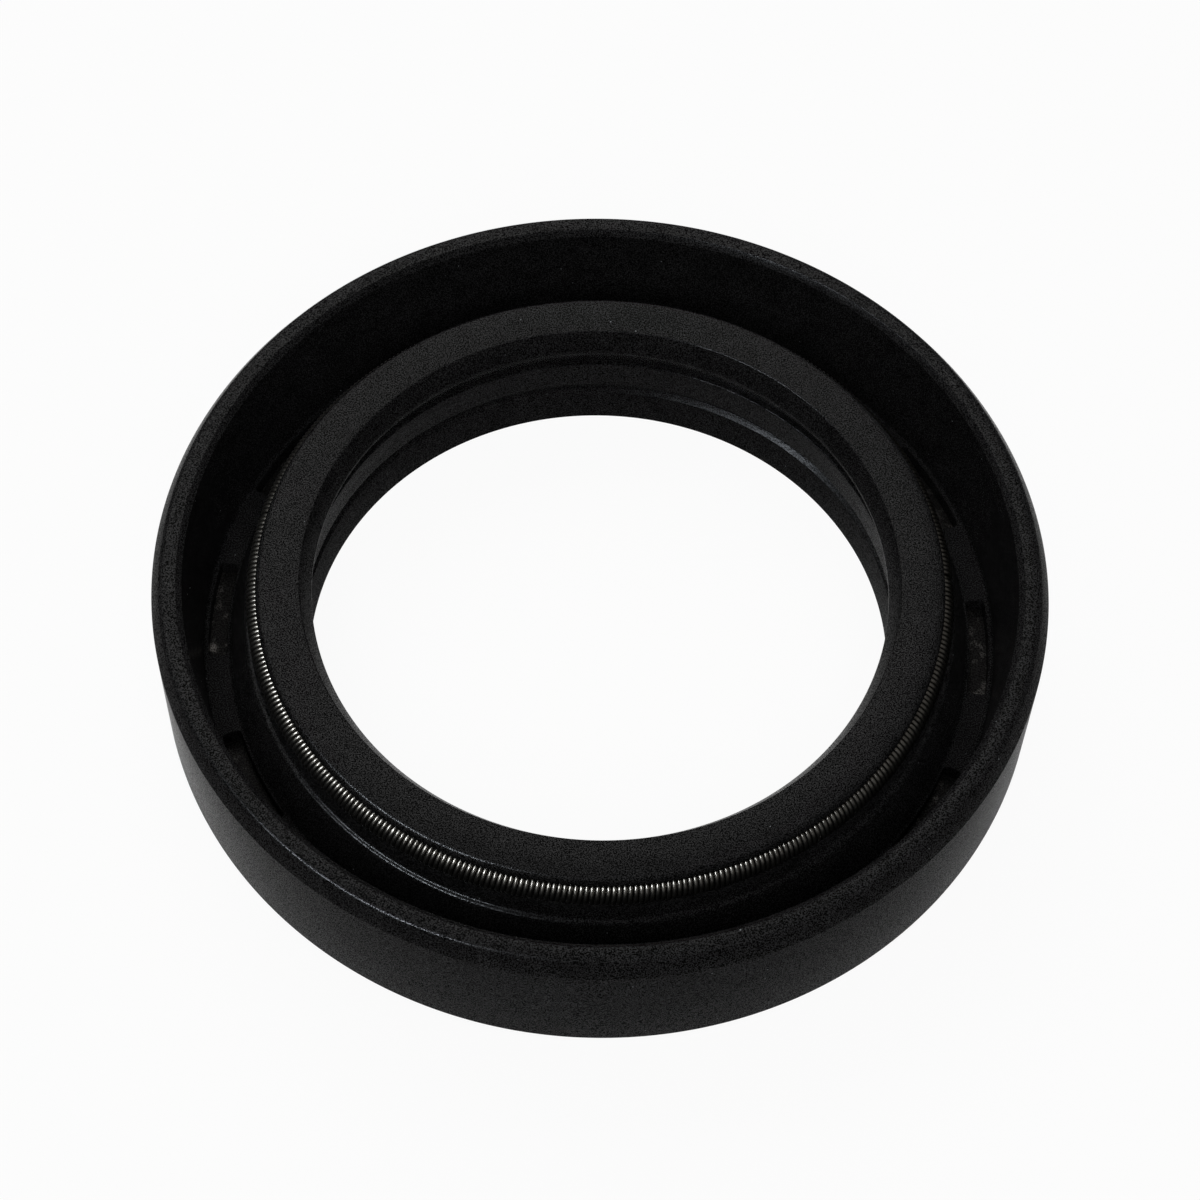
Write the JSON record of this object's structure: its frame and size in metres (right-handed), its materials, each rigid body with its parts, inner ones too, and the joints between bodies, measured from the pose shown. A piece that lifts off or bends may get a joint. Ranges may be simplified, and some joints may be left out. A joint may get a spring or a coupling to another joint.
{
  "type": "radial shaft seal",
  "caption": "Rubber-covered radial shaft seal: a spring-loaded lip and a dust lip run on a rotating shaft, and the outer wall presses into a housing bore.",
  "frame": {"origin": "centre of the back face, the air side, on the shaft's axis", "axes": "+Z along the shaft's axis towards the spring side"},
  "size_m": [0.052, 0.052, 0.01],
  "materials": {
    "rubber": "matte black moulded rubber with a fine grain",
    "case_steel": "dull phosphated sheet steel",
    "spring_steel": "bright drawn spring wire, close wound"
  },
  "bodies": {
    "root": {"rubber_body": "rubber", "steel_case": "case_steel", "garter_spring": "spring_steel"}
  },
  "joints": []
}
